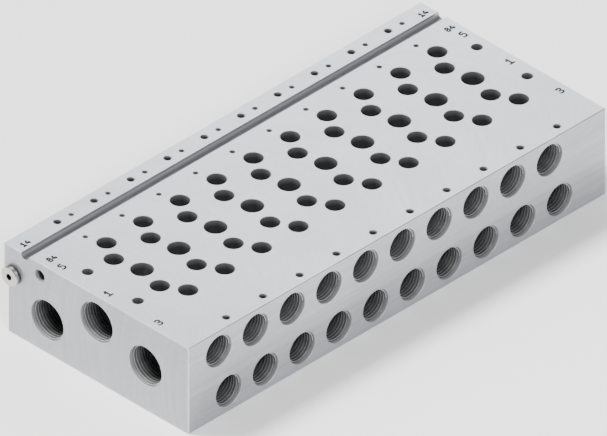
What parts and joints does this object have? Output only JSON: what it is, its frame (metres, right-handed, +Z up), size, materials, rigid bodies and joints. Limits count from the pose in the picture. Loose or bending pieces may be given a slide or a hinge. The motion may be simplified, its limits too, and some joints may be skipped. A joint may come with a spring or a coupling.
{
  "type": "manifold rail",
  "caption": "Long aluminium manifold rail for pneumatic valves, with threaded end ports, front outlets in two rows, valve openings on top and a screw plug in one pilot port.",
  "frame": {"origin": "middle of the four mounting holes, on the bottom face", "axes": "+X along the rail away from the plugged end, +Y from the front outlets to the back, +Z up to the valve face"},
  "size_m": [0.218, 0.0955, 0.0384],
  "materials": {
    "anodised_aluminium": "satin natural anodised",
    "nickel_plated_brass": "bright nickel plated",
    "seal_plastic": "matt"
  },
  "bodies": {
    "root": {"rail_body": "anodised_aluminium", "pilot_plug": "nickel_plated_brass", "plug_seal": "seal_plastic"}
  },
  "joints": []
}
